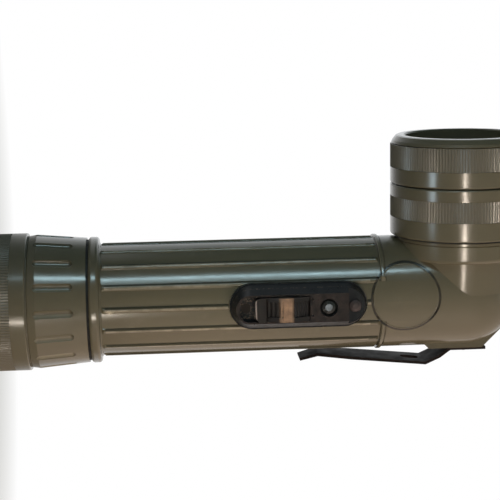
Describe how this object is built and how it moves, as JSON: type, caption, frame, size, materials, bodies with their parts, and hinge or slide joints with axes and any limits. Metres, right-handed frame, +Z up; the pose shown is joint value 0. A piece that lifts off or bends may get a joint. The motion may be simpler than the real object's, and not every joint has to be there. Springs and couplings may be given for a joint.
{
  "type": "right-angle signal lamp",
  "caption": "Right-angle hand signal lamp with ribbed barrel, screw-off lens, filter and tail rings, slide switch, morse button and belt clip.",
  "frame": {"origin": "centre of the flat tail face that the lamp stands on", "axes": "+Z up the barrel to the head, -Y the way the lens looks, +X the switch side, +Y the belt clip side"},
  "size_m": [0.0538, 0.081, 0.2022],
  "materials": {
    "olive_plastic": "satin moulded plastic",
    "black_plastic": "satin black moulded plastic",
    "black_steel": "black enamelled spring steel",
    "bright_steel": "plain bright steel",
    "brass": "plain brass",
    "black_rubber": "soft black rubber",
    "silvered": "silvered bowl",
    "clear_glass": "clear polished lens",
    "red_glass": "clear red filter",
    "blue_glass": "clear blue filter",
    "white_glass": "frosted white diffuser",
    "fibre": "red-brown vulcanised fibre",
    "cell_jacket": "plain lacquered steel jacket"
  },
  "bodies": {
    "case": {"case": "olive_plastic", "switch_plate": "black_plastic", "switch_rivets": "black_steel", "lower_strip": "brass", "upper_strip": "brass", "signal_leaf": "brass", "belt_clip": "black_steel", "clip_rivets": "black_steel", "rear_cell": "cell_jacket", "front_cell": "cell_jacket", "contact_disc": "fibre", "centre_rivet": "brass", "top_leaf": "brass"},
    "slider": {"switch_slider": "black_plastic", "slider_contact": "brass"},
    "button": {"morse_button": "black_plastic"},
    "tail_seal": {"tail_gasket": "black_rubber"},
    "tail_cap": {"tail_cap": "olive_plastic", "tail_contact": "bright_steel", "battery_spring": "bright_steel", "bulb_cradle": "black_rubber", "spare_bulb_glass": "clear_glass", "spare_bulb_base": "brass"},
    "end_seal": {"end_gasket": "black_rubber"},
    "end_cap": {"end_cap": "olive_plastic", "red_filter": "red_glass", "blue_filter": "blue_glass", "diffuser_filter": "white_glass", "hanger_strap": "bright_steel", "hanger_rivets": "bright_steel"},
    "hanger": {"hanger_ring": "bright_steel"},
    "lens_pack": {"head_gasket": "black_rubber", "lens_gasket": "black_rubber", "lens": "clear_glass", "reflector": "silvered", "bulb_glass": "clear_glass", "bulb_base": "brass", "bulb_holder": "black_plastic", "holder_contact": "brass"},
    "lens_ring": {"lens_ring": "olive_plastic"},
    "filter_seal": {"filter_gasket": "black_rubber"},
    "filter_ring": {"filter_ring": "olive_plastic"}
  },
  "joints": [
    {"name": "switch_slide", "type": "slide", "parent": "case", "child": "slider", "axis": [0, 0, 1], "range_m": [-0.0045, 0]},
    {"name": "button_press", "type": "slide", "parent": "case", "child": "button", "axis": [-1, 0, 0], "range_m": [0, 0.001], "stiffness_N_per_m": 600, "springref_m": -0.001, "deforming": ["signal_leaf"]},
    {"name": "tail_cap_lift", "type": "slide", "parent": "case", "child": "tail_seal", "axis": [0, 0, -1], "range_m": [0, 0.009]},
    {"name": "tail_cap_turn", "type": "hinge", "parent": "tail_seal", "child": "tail_cap", "pos_m": [0, 0, 0.0444], "axis": [0, 0, -1], "range_deg": [0, 1081]},
    {"name": "end_cap_lift", "type": "slide", "parent": "tail_cap", "child": "end_seal", "axis": [0, 0, -1], "range_m": [0, 0.009]},
    {"name": "end_cap_turn", "type": "hinge", "parent": "end_seal", "child": "end_cap", "pos_m": [0, 0, 0.0254], "axis": [0, 0, -1], "range_deg": [0, 1081]},
    {"name": "hanger_swing", "type": "hinge", "parent": "end_cap", "child": "hanger", "pos_m": [0, -0.013, 0.0019], "axis": [-1, 0, 0], "range_deg": [0, 110]},
    {"name": "lens_ring_lift", "type": "slide", "parent": "case", "child": "lens_pack", "axis": [0, -1, 0], "range_m": [0, 0.009]},
    {"name": "lens_ring_turn", "type": "hinge", "parent": "lens_pack", "child": "lens_ring", "pos_m": [0, -0.021, 0.177], "axis": [0, -1, 0], "range_deg": [0, 1081]},
    {"name": "filter_ring_lift", "type": "slide", "parent": "lens_ring", "child": "filter_seal", "axis": [0, -1, 0], "range_m": [0, 0.009]},
    {"name": "filter_ring_turn", "type": "hinge", "parent": "filter_seal", "child": "filter_ring", "pos_m": [0, -0.0386, 0.177], "axis": [0, -1, 0], "range_deg": [0, 1081]}
  ],
  "couplings": [
    {"joint": "tail_cap_turn", "follows": "tail_cap_lift", "rad_per_m": 2094.4},
    {"joint": "end_cap_turn", "follows": "end_cap_lift", "rad_per_m": 2094.4},
    {"joint": "lens_ring_turn", "follows": "lens_ring_lift", "rad_per_m": 2094.4},
    {"joint": "filter_ring_turn", "follows": "filter_ring_lift", "rad_per_m": 2094.4}
  ]
}
